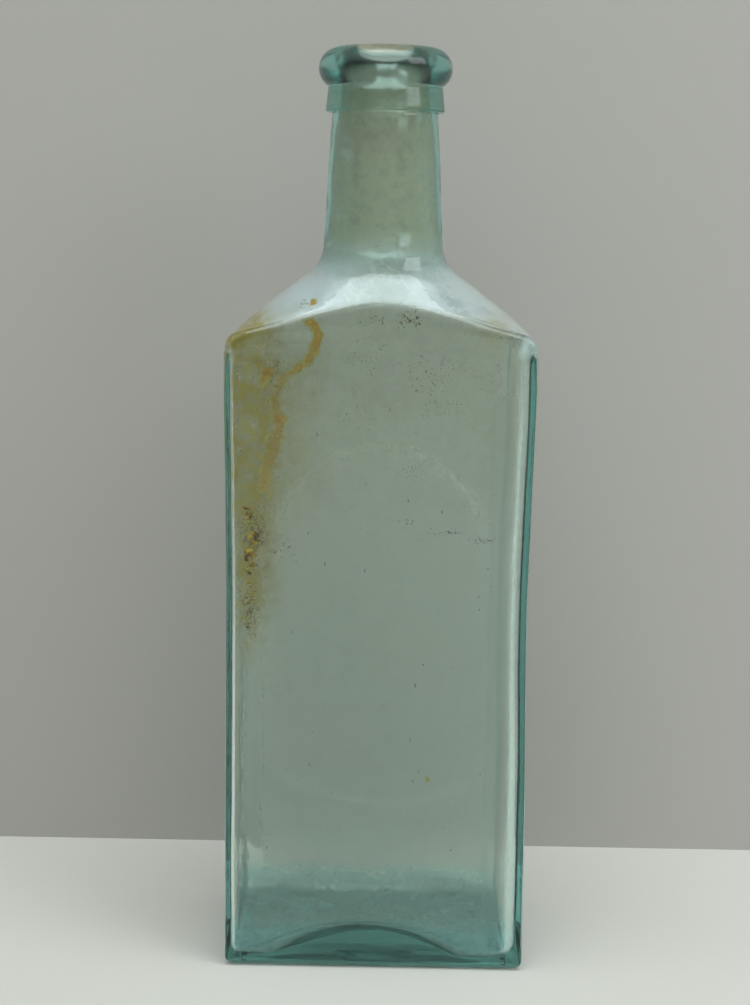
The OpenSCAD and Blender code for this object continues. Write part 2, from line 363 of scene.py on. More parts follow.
def wave_outside(points):
    """Uneven outside, true at the base and under the lip. The waves only sink, so the size stays."""
    z = points[:, 2]
    free = ease(z, 8, 20) * ease(z, LIP_Z - 4, LIP_Z - 24)
    on_shoulder = ease(z, SIDE_H - 4, SIDE_H + 4)
    wave = OUTER_WAVE * (ripple(points, OUTER_WAVE_LEN, OUTER_SEED) - 1)
    wave += SHOULDER_WAVE * on_shoulder * (ripple(points, SHOULDER_WAVE_LEN, SHOULDER_SEED) - 1)
    push_in_and_out(points, free * wave)


def wave_inside(points):
    """Uneven inside, true at the floor and under the lip, and calmer on the narrow sides and in the neck."""
    x, _, z = points.T
    free = ease(z, LIP_Z + 2, LIP_Z - 18) * ease(z, 9, 17)
    calm = 1 - SIDE_CALM * ease(np.abs(x), 26, 34) - NECK_CALM * ease(z, 172, 180)
    wave = INNER_WAVE * ripple(points, INNER_WAVE_LEN, INNER_SEED)
    wave += INNER_RIPPLE * ripple(points, INNER_RIPPLE_LEN, INNER_RIPPLE_SEED)
    push_in_and_out(points, free * calm * wave)


def swell_shoulder(points):
    """Widens the shoulder to each side, and leaves the neck."""
    x, _, z = points.T
    swell = SWELL * near(z, SWELL_Z, SWELL_H) + TURN_SWELL * near(z, TURN_SWELL_Z, TURN_SWELL_H)
    points[:, 0] += swell * np.sign(x) * smooth_step(np.abs(x) / NECK_LOW_R - SWELL_FROM)


def outer_rings():
    """Outside of the body from the middle of the base to the end of the neck."""
    rim_in = HEEL_R + RIM_W
    rim_reach = plan_reach(ANGLES, HALF_W - rim_in, HALF_D - rim_in, CORNER_R)
    dome = [ring(rim_reach * t, PUSH_UP * (1 - t * t)) for t in np.linspace(0, 1, PUSH_UP_RINGS)[1:]]
    rim = [ring(plan_reach(ANGLES, HALF_W - i, HALF_D - i, CORNER_R), 0) for i in RIM_INSETS]
    heel = []
    for t in np.linspace(0, math.pi / 2, HEEL_RINGS):
        inset = HEEL_R * (1 - math.sin(t))
        side_inset = HEEL_SIDE_W * (1 - math.sin(t))
        corner_r = max(CORNER_R - inset, LEAST_CORNER_R)
        reach = plan_reach(ANGLES, HALF_W - side_inset, HALF_D - inset, corner_r)
        heel.append(ring(reach, HEEL_R * (1 - math.cos(t))))
    sides = []
    for z in np.linspace(HEEL_R, SIDE_H, SIDE_RINGS)[1:]:
        sides.append(ring(plan_reach(ANGLES, HALF_W - sink_at(z), HALF_D, corner_at(z)), z))
    shoulder = shoulder_rings(HALF_W, HALF_D, CORNER_TOP_R, SHOULDER_R, NECK_SWEEP_R, NECK_LOW_R)
    neck_foot = foot_z(HALF_W, SHOULDER_R, NECK_SWEEP_R, NECK_LOW_R)
    neck = []
    for share in np.linspace(0, 1, NECK_RINGS)[1:]:
        reach = NECK_LOW_R + (NECK_TOP_R - NECK_LOW_R) * share**NECK_TAPER_POWER
        neck.append(ring(reach, neck_foot + (LIP_Z - neck_foot) * share))
    for share in np.linspace(0, 1, NECK_END_RINGS)[1:]:
        reach = NECK_TOP_R + (NECK_END_R - NECK_TOP_R) * share
        neck.append(ring(reach, LIP_Z + (NECK_END_Z - LIP_Z) * share))
    return dome + rim + heel + sides + shoulder + neck


def floor_edge(points):
    """Height of the floor where it meets the wall: humped in front, with two low bumps behind."""
    x, y, _ = points.T
    hump = np.clip(1 - ((x - FRONT_HUMP_X) / FRONT_HUMP_HALF_W) ** 2, 0, 1)
    front = FRONT_EDGE_Z + FRONT_HUMP * hump
    back = BACK_EDGE_Z + BACK_BUMP * near(np.abs(x), BACK_BUMP_X, BACK_BUMP_W)
    share = np.clip((y / HOLLOW_HALF_D + 1) / 2, 0, 1)
    return front + (back - front) * share


def inner_rings():
    """Inside of the bottle from the end of the neck down to the middle of the floor."""
    mean_half_w = HALF_W - (LEFT_WALL + RIGHT_WALL) / 2
    throat_z = foot_z(mean_half_w, HOLLOW_TURN_R, THROAT_SWEEP_R, THROAT_R) + HOLLOW_RISE
    funnel_z = BOTTLE_H - MOUTH_LEN - MOUTH_FUNNEL
    bore = [ring(bore_at(z), z) for z in np.linspace(NECK_END_Z, funnel_z, BORE_RINGS)]
    throat = []
    for share in np.linspace(0, 1, THROAT_RINGS)[1:]:
        reach = THROAT_TOP_R + (THROAT_R - THROAT_TOP_R) * share
        throat.append(ring(reach, funnel_z + (throat_z - funnel_z) * share))
    sizes = (mean_half_w, HOLLOW_HALF_D, HOLLOW_CORNER_R, HOLLOW_TURN_R, THROAT_SWEEP_R, THROAT_R)
    shoulder = shoulder_rings(*sizes, HOLLOW_RISE)
    edge_z = floor_edge(ring(plan_reach(ANGLES, HOLLOW_HALF_W, HOLLOW_HALF_D, HOLLOW_CORNER_R), 0))
    sides = []
    for share in np.linspace(1, 0, HOLLOW_SIDE_RINGS):
        z = edge_z + HOLLOW_HEEL_R + (SIDE_H - edge_z - HOLLOW_HEEL_R) * share
        reach = plan_reach(ANGLES, HOLLOW_HALF_W - sink_at(z), HOLLOW_HALF_D, HOLLOW_CORNER_R)
        sides.append(ring(reach, z))
    heel = []
    for t in np.linspace(math.pi / 2, 0, HOLLOW_HEEL_RINGS)[1:]:
        inset = HOLLOW_HEEL_R * (1 - math.sin(t))
        corner_r = np.maximum(HOLLOW_CORNER_R - inset, LEAST_CORNER_R)
        edge_reach = plan_reach(ANGLES, HOLLOW_HALF_W - inset, HOLLOW_HALF_D - inset, corner_r)
        heel.append(ring(edge_reach, edge_z + HOLLOW_HEEL_R * (1 - math.cos(t))))
    # The floor goes in from the last ring of the heel
    floor = []
    for t in np.linspace(1, 0, FLOOR_RINGS)[1:-1]:
        floor.append(ring(edge_reach * t, edge_z * t**2 + FLOOR_MID_Z * (1 - t**2)))
    return bore + throat + shoulder[::-1][1:] + sides + heel + floor


def skin_faces(ring_count, ring_size):
    """Faces of a closed skin: a middle point, rings, and a middle point."""
    step = np.arange(ring_size)
    after = (step + 1) % ring_size
    faces = [(0, 1 + b, 1 + a) for a, b in zip(step, after)]
    for k in range(ring_count - 1):
        low = 1 + k * ring_size
        high = low + ring_size
        faces += [(low + a, low + b, high + b, high + a) for a, b in zip(step, after)]
    last = 1 + ring_count * ring_size
    start = last - ring_size
    faces += [(start + a, start + b, last) for a, b in zip(step, after)]
    return faces


def unit_ball(subdivisions):
    """Points and faces of a ball of radius 1."""
    shape = bmesh.new()
    bmesh.ops.create_icosphere(shape, subdivisions=subdivisions, radius=1)
    points = np.array([v.co for v in shape.verts])
    faces = [tuple(v.index for v in f.verts) for f in shape.faces]
    shape.free()
    return points, faces


def join_copies(copies, faces):
    """Points and faces of several copies of one shape."""
    size = len(copies[0])
    joined = [tuple(v + i * size for v in face) for i in range(len(copies)) for face in faces]
    return np.concatenate(copies), joined


def make_piece(name, points, faces, material, slot, *nodes):
    """Makes a mesh from points in millimetres, and sets it in the frame."""
    mesh = bpy.data.meshes.new(name)
    mesh.from_pydata((np.asarray(points) * MM).tolist(), [], faces)
    mesh.validate()
    mesh.shade_smooth()
    piece = bpy.data.objects.new(name, mesh)
    bpy.context.scene.collection.objects.link(piece)
    mesh.materials.append(material)
    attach(piece, "root")
    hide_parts(*nodes)
    return piece


def set_attribute(piece, name, values):
    """Gives each point of a piece a number that its material reads."""
    layer = piece.data.attributes.new(name, "FLOAT", "POINT")
    layer.data.foreach_set("value", np.asarray(values, np.float32))


class Nodes:
    """Short ways to add and link the nodes of one material."""

    def __init__(self, name):
        self.material = bpy.data.materials.new(name)
        self.material.use_nodes = True
        self.tree = self.material.node_tree
        self.tree.nodes.clear()
        self.output = self.tree.nodes.new("ShaderNodeOutputMaterial")

    def add(self, kind, **inputs):
        node = self.tree.nodes.new("ShaderNode" + kind)
        for name, value in inputs.items():
            self.put(node, name, value)
        return node

    def put(self, node, name, value):
        socket = node.inputs[int(name)] if name.isdigit() else node.inputs[name]
        if isinstance(value, bpy.types.NodeSocket):
            self.tree.links.new(value, socket)
        else:
            socket.default_value = value

    def math(self, operation, a, b=0.0):
        node = self.tree.nodes.new("ShaderNodeMath")
        node.operation = operation
        self.put(node, "0", a)
        self.put(node, "1", b)
        return node.outputs[0]

    def plus(self, a, b):
        return self.math("ADD", a, b)

    def minus(self, a, b):
        return self.math("SUBTRACT", a, b)

    def times(self, a, b):
        return self.math("MULTIPLY", a, b)

    def larger(self, a, b):
        return self.math("MAXIMUM", a, b)

    def smaller(self, a, b):
        return self.math("MINIMUM", a, b)

    def ease(self, value, low, high):
        node = self.tree.nodes.new("ShaderNodeMapRange")
        node.interpolation_type = "SMOOTHSTEP"
        self.put(node, "Value", value)
        self.put(node, "From Min", low)
        self.put(node, "From Max", high)
        return node.outputs[0]

    def noise(self, scale, detail, roughness=0.55):
        node = self.add("TexNoise", Scale=scale, Detail=detail, Roughness=roughness)
        self.put(node, "Vector", self.add("TexCoord").outputs["Object"])
        return node.outputs["Fac"]

    def attribute(self, name):
        node = self.tree.nodes.new("ShaderNodeAttribute")
        node.attribute_name = name
        return node.outputs["Fac"]

    def mix(self, share, a, b):
        node = self.tree.nodes.new("ShaderNodeMix")
        node.data_type = "RGBA"
        self.put(node, "0", share)
        self.put(node, "6", a)
        self.put(node, "7", b)
        return node.outputs[2]

    def ramp(self, value, *stops):
        node = self.tree.nodes.new("ShaderNodeValToRGB")
        self.put(node, "Fac", value)
        elements = node.color_ramp.elements
        middle = 0.5
        while len(elements) < len(stops):
            elements.new(middle)
        for element, (position, colour) in zip(elements, stops):
            element.position = position
            element.color = (*colour, 1)
        return node.outputs["Color"]

    def bump(self, height, strength, distance):
        node = self.add("Bump", Strength=strength, Distance=distance)
        self.put(node, "Height", height)
        return node.outputs["Normal"]

    def surface(self, shader):
        self.tree.links.new(shader, self.output.inputs["Surface"])


# The glass itself
GLASS_IOR = 1.52
GLASS_TINT = (0.15, 0.79, 0.78, 1)
TINT_DENSITY = 40.0

# Colours of what lies on the inside of the glass
FILM_COLOUR = (0.93, 0.95, 0.90, 1)
# The bluish white of the shoulder haze is partly a painted sheen of the overhead light
MILK_AND_SHEEN_COLOUR = (0.93, 0.96, 0.99, 1)
GRIME_COLOUR = (0.80, 0.69, 0.61, 1)
# The film on the floor is aqua: partly a film of dirt, partly a painted teal glow of light through the thick
# base
FLOOR_FILM_AND_GLOW_COLOUR = (0.54, 0.92, 0.93, 1)
TAN_COLOUR = (0.56, 0.42, 0.08, 1)
SPECK_COLOUR = (0.16, 0.10, 0.04, 1)
STAIN_SPECK_COLOUR = (0.14, 0.07, 0.02, 1)
STAIN_OCHRE = (0.80, 0.66, 0.24)
STAIN_ORANGE = (0.76, 0.48, 0.08)
STAIN_BROWN = (0.68, 0.31, 0.02)

# Share of the light that each of them stops where it is thickest, and that all stop at most
TAN_COVER = 0.48
STREAK_COVER = 0.65
SPECK_COVER = 0.75
MOST_COVER = 0.95

# How much the noise counts in each of them
NOISE_MIDDLE = 0.5
COARSE_RAG = 1.1
FINE_RAG = 0.6
LEAST_TAN = 0.35
SPECK_RISE = 0.24
CLOUD_HAZE_AND_SHEEN = 0.35
PAINTED_SHEEN_VEINS = 0.2
EVEN_HAZE_AND_SHEEN = 0.6
MOTTLED_FILM = 0.8
STAIN_FROST = 0.2
EVEN_BUMP = 0.15
MILK_AND_SHEEN_BUMP = 0.4


def aqua_glass():
    """Pale aqua glass whose inside carries a thin film, specks and stains, a haze with a painted sheen on
    the shoulder, and a film with a painted teal glow on the floor.
    """
    n = Nodes("aqua_glass")
    inside = n.attribute("inside")
    stain = n.attribute("stain")
    milk_and_sheen = n.attribute("milk_and_sheen")
    cloud = n.noise(scale=110, detail=4)
    mottle = n.noise(scale=420, detail=4)
    grain = n.noise(scale=1000, detail=4)
    dust = n.noise(scale=2400, detail=2)

    # Stains have ragged edges, from ochre at the rim to orange brown, with dark specks in them
    rag = n.times(n.minus(mottle, NOISE_MIDDLE), COARSE_RAG)
    rag = n.plus(rag, n.times(n.minus(grain, NOISE_MIDDLE), FINE_RAG))
    streak = n.ease(n.plus(stain, rag), low=0.05, high=1.1)
    streak = n.times(streak, n.ease(stain, low=0.06, high=0.25))
    stain_colour = n.ramp(streak, (0.1, STAIN_OCHRE), (0.5, STAIN_ORANGE), (0.95, STAIN_BROWN))
    stain_colour = n.mix(n.ease(dust, low=0.62, high=0.72), stain_colour, STAIN_SPECK_COLOUR)

    # The tan film is patchy
    patch = n.plus(n.ease(n.plus(mottle, cloud), low=0.5, high=1.5), LEAST_TAN)
    patch = n.smaller(n.times(patch, n.attribute("tan")), 1.0)

    # Specks lie in loose groups
    speck = n.plus(dust, n.times(n.attribute("specks"), SPECK_RISE))
    speck = n.times(n.ease(speck, low=0.70, high=0.76), n.ease(cloud, low=0.42, high=0.55))
    speck = n.times(speck, inside)

    # A milky haze lies on the shoulder, partly a painted sheen of the overhead light, with paler veins that
    # are painted highlight streaks
    painted_sheen_vein = n.math("ABSOLUTE", n.minus(n.noise(scale=60, detail=4, roughness=0.6), NOISE_MIDDLE))
    painted_sheen_vein = n.ease(painted_sheen_vein, low=0.02, high=0.0)
    haze_and_sheen = n.plus(n.times(n.ease(cloud, low=0.35, high=0.65), CLOUD_HAZE_AND_SHEEN), n.times(painted_sheen_vein, PAINTED_SHEEN_VEINS))
    haze_and_sheen = n.times(n.times(n.plus(haze_and_sheen, EVEN_HAZE_AND_SHEEN), milk_and_sheen), inside)

    # The haze and painted sheen add to the pale film, and the rest lies over both
    film = n.times(n.attribute("film"), n.plus(n.times(mottle, MOTTLED_FILM), cloud))
    film = n.plus(film, haze_and_sheen)
    colour = n.mix(n.smaller(milk_and_sheen, 1.0), FILM_COLOUR, MILK_AND_SHEEN_COLOUR)
    colour = n.mix(n.attribute("grime"), colour, GRIME_COLOUR)
    # On the floor the film turns aqua, partly a painted teal glow
    colour = n.mix(n.attribute("floor"), colour, FLOOR_FILM_AND_GLOW_COLOUR)
    colour = n.mix(patch, colour, TAN_COLOUR)
    colour = n.mix(n.ease(streak, low=0.0, high=0.3), colour, stain_colour)
    colour = n.mix(speck, colour, SPECK_COLOUR)
    cover = n.plus(film, n.times(patch, TAN_COVER))
    cover = n.larger(cover, n.times(streak, STREAK_COVER))
    cover = n.larger(cover, n.times(speck, SPECK_COVER))
    clear = n.minus(1.0, n.smaller(cover, MOST_COVER))

    # The surface is slightly uneven, and more so under the shoulder's haze and painted sheen
    rough = n.plus(n.attribute("frost"), n.times(streak, STAIN_FROST))
    height = n.times(n.noise(scale=220, detail=3), EVEN_BUMP)
    height = n.plus(height, n.times(n.noise(scale=160, detail=4), n.times(milk_and_sheen, MILK_AND_SHEEN_BUMP)))
    shader = n.add("BsdfPrincipled", IOR=GLASS_IOR)
    n.put(shader, "Base Color", colour)
    n.put(shader, "Roughness", rough)
    n.put(shader, "Transmission Weight", clear)
    n.put(shader, "Normal", n.bump(height, strength=1.0, distance=0.0004))
    n.surface(shader.outputs["BSDF"])
    tint = n.add("VolumeAbsorption", Color=GLASS_TINT, Density=TINT_DENSITY)
    n.tree.links.new(tint.outputs["Volume"], n.output.inputs["Volume"])
    return n.material


def crust():
    """Dried residue, from ochre to dark brown."""
    n = Nodes("dried_residue")
    fleck = n.noise(scale=600, detail=4)
    dark = (0.05, 0.035, 0.01)
    brown = (0.30, 0.16, 0.014)
    orange = (0.72, 0.38, 0.03)
    yellow = (0.72, 0.58, 0.07)
    colour = n.ramp(fleck, (0.38, dark), (0.47, brown), (0.56, orange), (0.64, yellow))
    shader = n.add("BsdfPrincipled", Roughness=0.85)
    n.put(shader, "Base Color", colour)
    n.put(shader, "Normal", n.bump(n.noise(scale=1800, detail=3), strength=0.6, distance=0.0003))
    n.surface(shader.outputs["BSDF"])
    return n.material


def plain(name, colour, one_sided=False):
    """Matt surface of the stage. A one-sided one is not there when seen from behind."""
    n = Nodes(name)
    shader = n.add("BsdfDiffuse", Color=(*colour, 1))
    if one_sided:
        both = n.add("MixShader")
        n.put(both, "0", n.add("NewGeometry").outputs["Backfacing"])
        n.put(both, "1", shader.outputs["BSDF"])
        n.put(both, "2", n.add("BsdfTransparent").outputs["BSDF"])
        n.surface(both.outputs["Shader"])
    else:
        n.surface(shader.outputs["BSDF"])
    return n.material


# A stain that runs down the inside of the front wall: across, up, half width, strength
STREAK = [
    (-18.8, 162.6, 0.8, 0.55),
    (-16.2, 162.3, 1.0, 0.9),
    (-14.8, 159.8, 1.1, 1.0),
    (-15.9, 156.2, 1.2, 0.95),
    (-17.8, 153.2, 1.2, 0.9),
    (-20.1, 151.2, 1.1, 0.7),
    (-23.0, 149.4, 1.0, 0.6),
    (-24.9, 146.7, 1.1, 0.55),
    (-25.4, 143.3, 1.4, 0.6),
    (-24.0, 139.0, 1.8, 0.8),
    (-24.7, 135.0, 2.2, 0.65),
    (-26.2, 130.5, 2.4, 0.6),
    (-27.7, 124.3, 2.2, 0.55),
    (-27.3, 120.0, 1.5, 0.3),
]

# Round stains on the inside of the front wall: across, up, radius, strength
SPOTS = [
    (-27.0, 150.7, 1.2, 1.3),
    (-28.0, 149.0, 1.0, 1.0),
    (-28.7, 147.7, 0.9, 0.7),
    (-28.9, 156.7, 0.8, 0.7),
    (-16.1, 166.4, 0.7, 1.1),
    (12.8, 49.4, 0.8, 0.9),
]

# Groups of specks on the inside of the front wall: across, up, half width, half height, strength
SPECKS = [
    (5.5, 163.6, 9, 2.4, 0.75),
    (-18, 166, 2.4, 2, 0.7),
    (26, 160, 4, 3, 0.6),
    (8, 127, 4, 3, 0.6),
    (8, 114.6, 6, 1.0, 0.7),
    (17, 112.4, 6, 1.0, 0.8),
    (25, 110.4, 4, 1.0, 0.9),
    (-30, 110, 4, 9, 1.0),
    (-31, 92, 2.5, 9, 0.9),
    (-25, 105, 5, 5, 1.0),
    (-26, 148, 5, 10, 0.5),
    (10, 148, 22, 14, 0.35),
]

# Crumbs of residue on the inside of the front wall: across, up, half width, half height
CRUMBS = [
    (-32.0, 116.4, 0.9, 1.9),
    (-30.8, 109.6, 1.2, 1.5),
    (-31.0, 106.6, 1.1, 1.6),
    (-30.7, 104.0, 0.7, 0.8),
    (-31.8, 102.0, 0.7, 0.8),
    (-31.5, 98.8, 0.5, 0.9),
    (-31.6, 94.2, 0.45, 1.0),
    (-31.8, 90.5, 0.4, 0.5),
    (-31.6, 87.2, 0.5, 1.5),
    (-32.4, 83.6, 0.4, 0.6),
    (-24.9, 106.7, 0.45, 0.4),
    (-23.4, 105.8, 0.35, 0.5),
    (-26.0, 109.0, 0.3, 0.3),
]

# Places on the glass are in millimetres: x across, y from front to back, z up

# Tan film: a thin veil, a wash on the left, a patch on the right, and more in the neck and up high
TAN_VEIL = 0.02
TAN_WASH = 0.38
TAN_RIGHT = 0.5
TAN_NECK = 0.12
TAN_HIGH = 0.15
TAN_CLEANED = 0.7

# Milky haze, partly a painted sheen of the overhead light: more on the left, less in the middle and over the
# ridge
MILK_AND_SHEEN_LEFT = 0.5
MILK_AND_SHEEN_MIDDLE_LOSS = 0.4
MILK_AND_SHEEN_RIDGE = 0.75

# Share of the light that the pale film stops
FRONT_FILM = 0.05
BACK_FILM = 0.2
SIDE_FILM_LOSS = 0.02
NECK_FILM = 0.85
# On the floor the film stands partly for a painted teal glow
FLOOR_FILM_AND_GLOW = 0.32

# Roughness of the glass, and the width of the clearer line along the arch
OUTER_FROST = 0.03
BASE_WEAR = 0.05
FRONT_FROST = 0.10
BACK_FROST = 0.5
ARCH_CLEARED = 0.8
ARCH_W = 2.5
SIDE_FROST_LOSS = 0.06
RIGHT_FROST = 0.2
FLOOR_FROST = 0.12


def stain_at(points):
    """How strongly each point of the front wall is stained."""
    x, y, z = points.T
    amount = np.zeros(len(points))
    for (x0, z0, w0, s0), (x1, z1, w1, s1) in zip(STREAK, STREAK[1:]):
        dx = x1 - x0
        dz = z1 - z0
        t = np.clip(((x - x0) * dx + (z - z0) * dz) / (dx * dx + dz * dz), 0, 1)
        away = np.hypot(x - x0 - t * dx, z - z0 - t * dz)
        amount = np.maximum(amount, (s0 + (s1 - s0) * t) * near(away, 0, w0 + (w1 - w0) * t))
    for spot_x, spot_z, radius, strength in SPOTS:
        amount = np.maximum(amount, strength * near(np.hypot(x - spot_x, z - spot_z), 0, radius))
    return np.where(y < 0, amount, 0)


def tan_at(points):
    """A tan film that is thickest along the left edge, with a clean patch high on the left."""
    x, _, z = points.T
    strip = near(x, -31.5, 4.5) * ease(z, 70, 95) * ease(z, 166, 160)
    wash = TAN_WASH * ease(x, -10, -24) * ease(z, 105, 125) * ease(z, 168, 160)
    right = TAN_RIGHT * near(x, 27, 4) * near(z, 160, 4)
    neck = TAN_NECK * ease(z, 172, 187)
    high = TAN_HIGH * ease(z, 100, 140)
    clean = TAN_CLEANED * near(x, -22, 5.5) * near(z, 157, 5)
    return np.clip((TAN_VEIL + strip + wash + right + neck + high) * (1 - clean), 0, 1)


def specks_at(points):
    """How thickly fine specks lie on the inside of the front wall."""
    x, y, z = points.T
    amount = np.zeros(len(points))
    for group_x, group_z, half_w, half_h, strength in SPECKS:
        group = strength * near(x, group_x, half_w) * near(z, group_z, half_h)
        amount = np.maximum(amount, group)
    return np.where(y < 0, amount, 0)


def on_back_wall(points):
    """1 on the inside of the back wall, falling to 0 before the corners."""
    x, y, _ = points.T
    return ease(y, 4, 10) * (1 - ease(np.abs(x), 29, 33))


def on_side_wall(points):
    """1 on the inside of the narrow side walls."""
    return ease(np.abs(points[:, 0]), 32, 34)


def floor_at(points):
    """1 on the floor of the hollow."""
    return ease(points[:, 2], 14, 8)


def grime_at(points):
    """1 in the neck, where the film is a grey olive."""
    return ease(points[:, 2], 174, 184)


def milk_and_sheen_at(points, half_d):
    """Haze on the shoulder, partly a painted sheen of the overhead light, where it leaves the front and back
    faces, falling to 0 at the neck.
    """
    x, y, z = points.T
    on_shoulder = ease(z, 153, 157) * ease(z, 186, 176)
    off_faces = ease(half_d - np.abs(y), 0.2, 1.7)
    across = 1 + MILK_AND_SHEEN_LEFT * ease(x, -8, -18) - MILK_AND_SHEEN_MIDDLE_LOSS * near(x, 0, 10)
    off_ridge = MILK_AND_SHEEN_RIDGE + (1 - MILK_AND_SHEEN_RIDGE) * ease(np.abs(y), 2, 6)
    return across * off_faces * on_shoulder * off_ridge


def film_at(points):
    """Share of the light that the pale film stops: most in the neck, and least on the front and sides."""
    body = FRONT_FILM + BACK_FILM * on_back_wall(points) - SIDE_FILM_LOSS * on_side_wall(points)
    body = body + (NECK_FILM - body) * ease(points[:, 2], 174, 182)
    # On the floor the film is partly a painted teal glow
    return body + (FLOOR_FILM_AND_GLOW - body) * floor_at(points)


def frost_at(points):
    """Roughness of the inside: most on the back, but for the edge of its arch, and some on the right."""
    x, _, z = points.T
    arch = near(np.hypot(x, z - PANEL_SPRING_Z), PANEL_HALF_W, ARCH_W) * (z > PANEL_SPRING_Z)
    back = BACK_FROST * on_back_wall(points) * (1 - ARCH_CLEARED * arch)
    right = ease(x, 25, 28) * (1 - ease(x, 34.5, 35.5)) * ease(z, 152, 144)
    body = FRONT_FROST + back - SIDE_FROST_LOSS * on_side_wall(points) + RIGHT_FROST * right
    return body + (FLOOR_FROST - body) * floor_at(points)


def outer_frost_at(points):
    """Roughness of the outside, which is worn under the base."""
    return OUTER_FROST + BASE_WEAR * ease(points[:, 2], 4, 1)


# Seeds for what is strewn at random
BODY_BUBBLE_SEED = 21
LIP_BUBBLE_SEED = 22
RESIDUE_SEED = 5


def bubbles(places, sizes, stretch):
    """Small closed hollows in the glass, as points and faces that look inwards."""
    ball, ball_faces = unit_ball(subdivisions=1)
    copies = []
    for place, size, tall in zip(places, sizes, stretch):
        copies.append(ball * size * np.array([1, 1, tall]) + place)
    return join_copies(copies, [face[::-1] for face in ball_faces])


def body_bubbles():
    """Bubbles in the front wall, a little nearer to its outside."""
    rng = np.random.default_rng(BODY_BUBBLE_SEED)
    count = 26
    depth_share = 0.45
    across = rng.uniform(-27, 27, count)
    along = np.full(count, depth_share * WALL - HALF_D)
    up = rng.uniform(30, 145, count)
    sizes = rng.uniform(0.12, 0.26, count)
    stretch = rng.uniform(1.0, 2.5, count)
    return bubbles(np.stack([across, along, up], axis=1), sizes, stretch)


def lip_bubbles():
    """Bubbles under the surface of the collar, about half of them to the left of the front."""
    rng = np.random.default_rng(LIP_BUBBLE_SEED)
    count = 60
    left_share = 0.5
    on_left = rng.random(count) < left_share
    turn = np.where(on_left, rng.normal(-58, 10, count), rng.uniform(-90, 90, count))
    angles = np.radians(turn - 90)
    reach = COLLAR_TOP_R - rng.uniform(0.35, 1.2, count)
    up = rng.uniform(213.3, 217.5, count)
    sizes = rng.uniform(0.10, 0.24, count)
    stretch = rng.uniform(0.7, 1.2, count)
    places = np.stack([reach * np.cos(angles), reach * np.sin(angles), up], axis=1)
    return bubbles(places, sizes, stretch)


def glass_body(material):
    """Body, shoulder, neck and base as one closed skin with its hollow."""
    outside = outer_rings()
    hollow = inner_rings()
    outer_points = np.concatenate(outside)
    inner_points = np.concatenate(hollow)
    sink_panel(outer_points, HALF_D - CORNER_R)
    wave_outside(outer_points)
    wave_inside(inner_points)
    swell_shoulder(outer_points)
    swell_shoulder(inner_points)
    skin = np.concatenate([[[0, 0, PUSH_UP]], outer_points, inner_points, [[0, 0, FLOOR_MID_Z]]])
    bubble_points, bubble_faces = body_bubbles()
    points = np.concatenate([skin, bubble_points])
    faces = skin_faces(len(outside) + len(hollow), len(ANGLES))
    faces += [tuple(v + len(skin) for v in face) for face in bubble_faces]
    piece = make_piece("glass_body_skin", points, faces, material, "aqua_glass", "glass_body")
    inside = np.zeros(len(points))
    inside[1 + len(outer_points) : len(skin)] = 1
    milk_and_sheen = np.where(inside > 0, milk_and_sheen_at(points, HOLLOW_HALF_D), milk_and_sheen_at(points, HALF_D))
    set_attribute(piece, "inside", inside)
    set_attribute(piece, "milk_and_sheen", milk_and_sheen)
    set_attribute(piece, "stain", stain_at(points) * inside)
    set_attribute(piece, "tan", tan_at(points) * inside)
    set_attribute(piece, "specks", specks_at(points) * inside)
    set_attribute(piece, "film", film_at(points) * inside)
    set_attribute(piece, "grime", grime_at(points) * inside)
    # The floor mask also carries the painted teal glow
    set_attribute(piece, "floor", floor_at(points) * inside)
    set_attribute(piece, "frost", np.where(inside > 0, frost_at(points), outer_frost_at(points)))


def lip_profile():
    """Section of the lip: up the collar, round the bead to the bore, and down along the neck."""
    bead_z = BOTTLE_H - BEAD_SECTION_R
    bead_ring = BEAD_R - BEAD_SECTION_R
    step = math.acos((COLLAR_TOP_R - bead_ring) / BEAD_SECTION_R)
    mouth = math.acos((MOUTH_R - bead_ring) / BEAD_SECTION_R)
    step_z = bead_z - BEAD_SECTION_R * math.sin(step)
    foot_top_z = LIP_Z + COLLAR_EDGE
    collar = [
        (COLLAR_LOW_R - COLLAR_EDGE, LIP_Z),
        (COLLAR_LOW_R - COLLAR_EDGE_MID, LIP_Z + COLLAR_EDGE_MID),
    ]
    for t in np.linspace(0, 1, COLLAR_STEPS):
        reach = COLLAR_LOW_R + (COLLAR_TOP_R - COLLAR_LOW_R) * t
        collar.append((reach, foot_top_z + (step_z - foot_top_z) * t))
    bead = []
    for t in np.linspace(-step, mouth, BEAD_STEPS)[1:]:
        bead.append((bead_ring + BEAD_SECTION_R * math.cos(t), bead_z + BEAD_SECTION_R * math.sin(t)))
    inner_top_z = NECK_END_Z - LIP_OVERLAP
    inner = [(MOUTH_R, inner_top_z)]
    for t in np.linspace(1, 0, LIP_INNER_STEPS):
        reach = NECK_TOP_R + (NECK_END_R - NECK_TOP_R) * t
        inner.append((reach - LIP_OVERLAP, LIP_Z + (inner_top_z - LIP_Z) * t))
    return np.array(collar + bead + inner)


